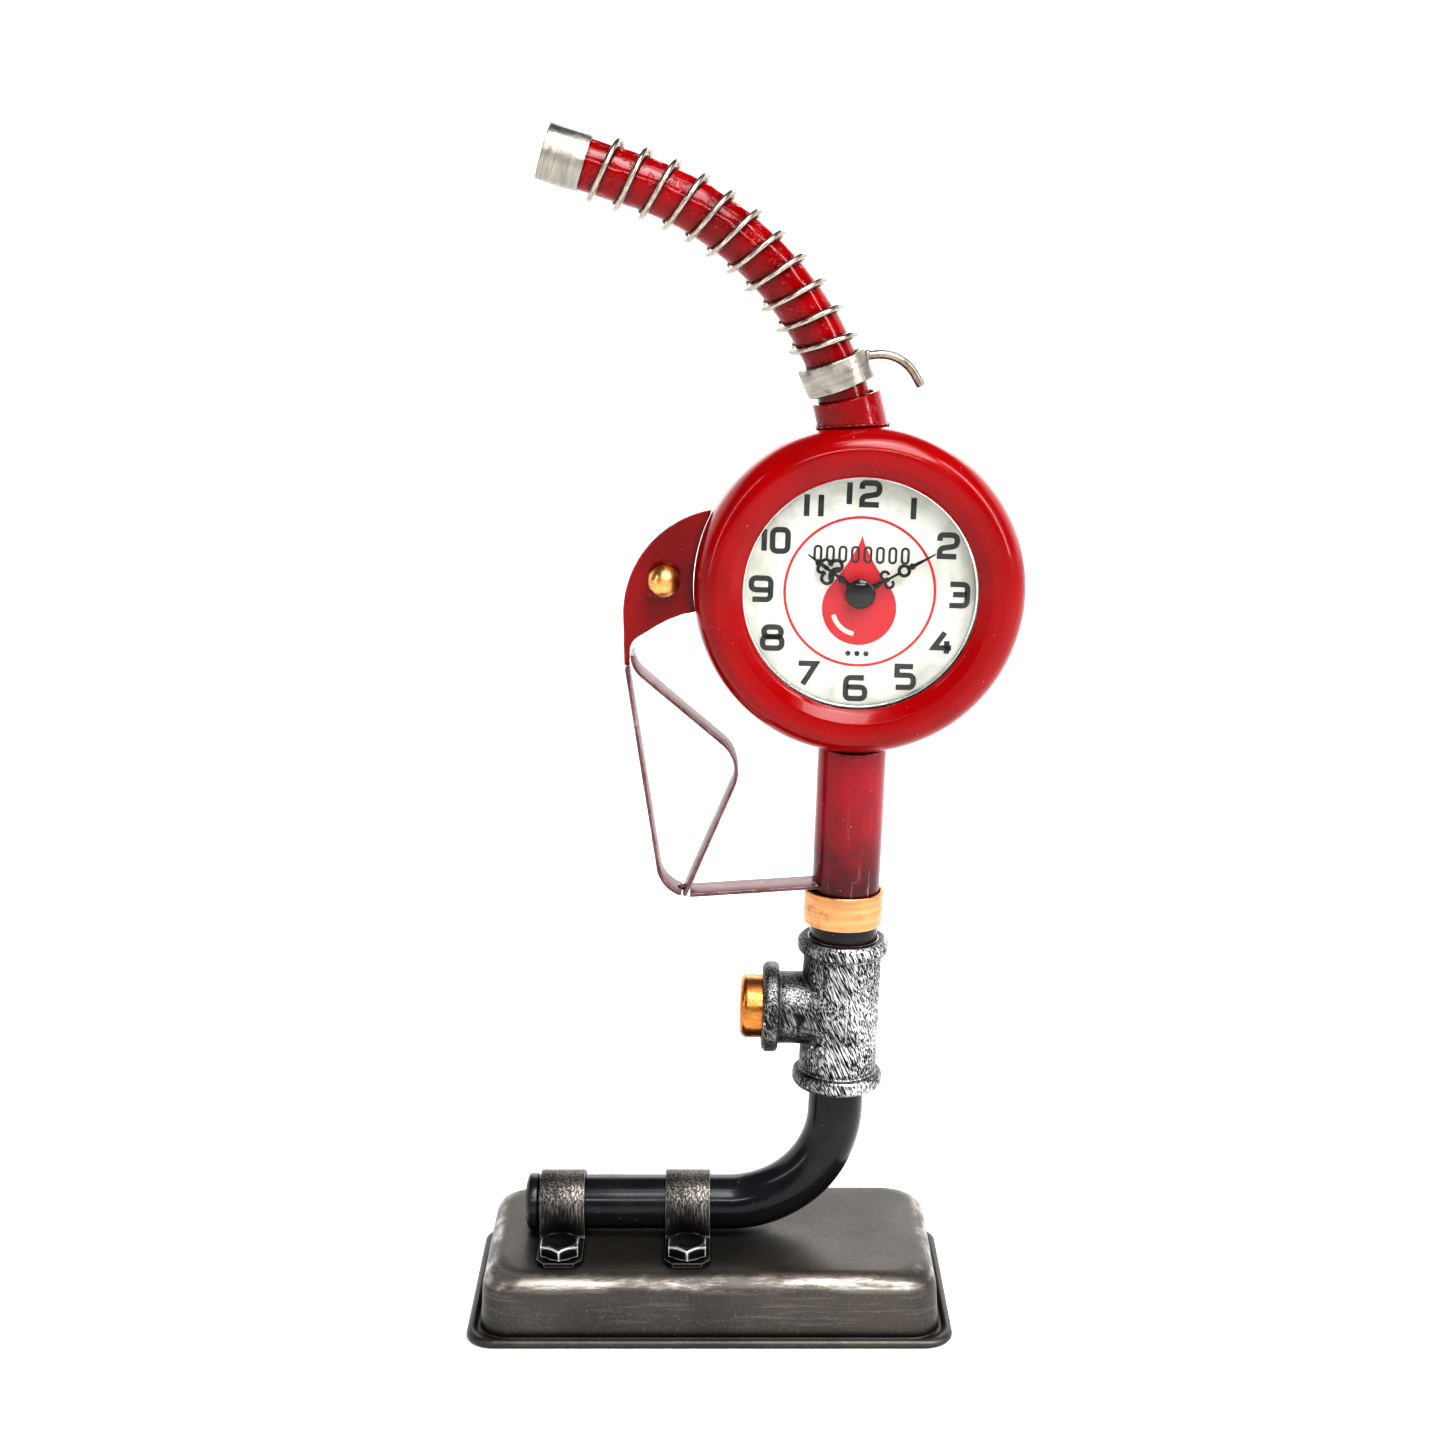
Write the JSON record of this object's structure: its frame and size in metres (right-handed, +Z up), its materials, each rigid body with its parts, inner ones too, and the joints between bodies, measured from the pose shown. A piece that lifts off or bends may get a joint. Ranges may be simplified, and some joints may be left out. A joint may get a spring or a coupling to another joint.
{
  "type": "table clock",
  "caption": "Table clock made like an old fuel nozzle: a round dial in a red drum, a sprung spout, a trigger and guard, and a pipe stand on a pressed steel base.",
  "frame": {"origin": "on the table, under the middle of the clock's bounding box", "axes": "+Z up, -Y out of the dial towards the viewer, the spout leans towards -X"},
  "size_m": [0.2021, 0.095, 0.4367],
  "materials": {
    "red_lacquer": "deep red gloss lacquer, small dents and specks",
    "dark_red_lacquer": "darker red gloss lacquer, worn edges",
    "gunmetal_pan": "dark gunmetal, rubbed lighter on its edges",
    "black_pipe": "black gloss enamel",
    "dark_steel": "blackened steel, dry-brushed silver on its edges",
    "tee_iron": "cast, dry-brushed silver over dark",
    "copper_plate": "copper coloured, brushed and polished",
    "polished_brass": "turned and polished",
    "movement_brass": "turned",
    "silver_leaf": "champagne silver, brushed",
    "bare_steel": "bare steel",
    "nickel_spring": "warm nickel wire",
    "mauve_strap": "thin brown-mauve paint with bare bright edges",
    "black_enamel": "black enamel",
    "black_plastic": "fine grained black",
    "white_plastic": "plain white",
    "rubber": "soft black",
    "printed_dial": "cream card with a faint mottle, printed",
    "spacer_silver": "satin",
    "lens_glass": "clear domed glass",
    "circuit_green": "green board",
    "coil_copper": "enamelled copper wire",
    "battery_can": "plated can in a thin printed sleeve"
  },
  "bodies": {
    "clock": {"back_cover": "dark_red_lacquer", "ball_rivet": "polished_brass", "base_pan": "gunmetal_pan", "battery": "battery_can", "battery_contact_minus": "bare_steel", "battery_contact_plus": "bare_steel", "bezel_ring": "red_lacquer", "bush_nut": "movement_brass", "circuit_board": "circuit_green", "clock_drum": "red_lacquer", "column_band": "copper_plate", "column_tube": "red_lacquer", "dial_clamp_ring": "white_plastic", "dial_plate": "printed_dial", "drive_coil": "coil_copper", "guard_rail": "mauve_strap", "guard_strap": "mauve_strap", "hook_rod": "bare_steel", "horn_bracket": "dark_red_lacquer", "lens": "lens_glass", "lens_spacer": "spacer_silver", "movement_case": "black_plastic", "movement_cover": "black_plastic", "neck_ring": "red_lacquer", "pipe_end_cap": "black_pipe", "pipe_strap_left": "dark_steel", "pipe_strap_right": "dark_steel", "pipe_tee": "tee_iron", "rubber_washer": "rubber", "shaft_bush": "movement_brass", "spout_collar": "silver_leaf", "spout_spring": "nickel_spring", "spout_tip": "silver_leaf", "spout_tube": "red_lacquer", "standpipe": "black_pipe", "strap_bolt_left_front": "dark_steel", "strap_bolt_left_rear": "dark_steel", "strap_bolt_right_front": "dark_steel", "strap_bolt_right_rear": "dark_steel", "strap_nut_left_front": "dark_steel", "strap_nut_left_rear": "dark_steel", "strap_nut_right_front": "dark_steel", "strap_nut_right_rear": "dark_steel", "tee_plug": "copper_plate", "trigger_strap": "mauve_strap"},
    "minute_hand_set": {"minute_hand": "black_enamel", "cannon_pinion": "movement_brass", "hand_cap": "black_enamel"},
    "hour_hand_set": {"hour_hand": "black_enamel", "hour_wheel": "movement_brass", "hour_pipe": "movement_brass"},
    "setting_set": {"setting_knob": "black_plastic", "setting_arbor": "movement_brass", "minute_wheel": "white_plastic"}
  },
  "joints": [
    {"name": "minute_hand_turn", "type": "hinge", "parent": "clock", "child": "minute_hand_set", "pos_m": [0.04227, 0, 0.27531], "axis": [0, 1, 0], "continuous": true},
    {"name": "hour_hand_turn", "type": "hinge", "parent": "clock", "child": "hour_hand_set", "pos_m": [0.04227, 0, 0.27531], "axis": [0, 1, 0], "continuous": true},
    {"name": "setting_knob_turn", "type": "hinge", "parent": "clock", "child": "setting_set", "pos_m": [0.05103, 0, 0.28351], "axis": [0, 1, 0], "continuous": true}
  ],
  "couplings": [
    {"joint": "hour_hand_turn", "follows": "minute_hand_turn", "ratio": 0.083333},
    {"joint": "setting_knob_turn", "follows": "minute_hand_turn", "ratio": -0.33333}
  ]
}
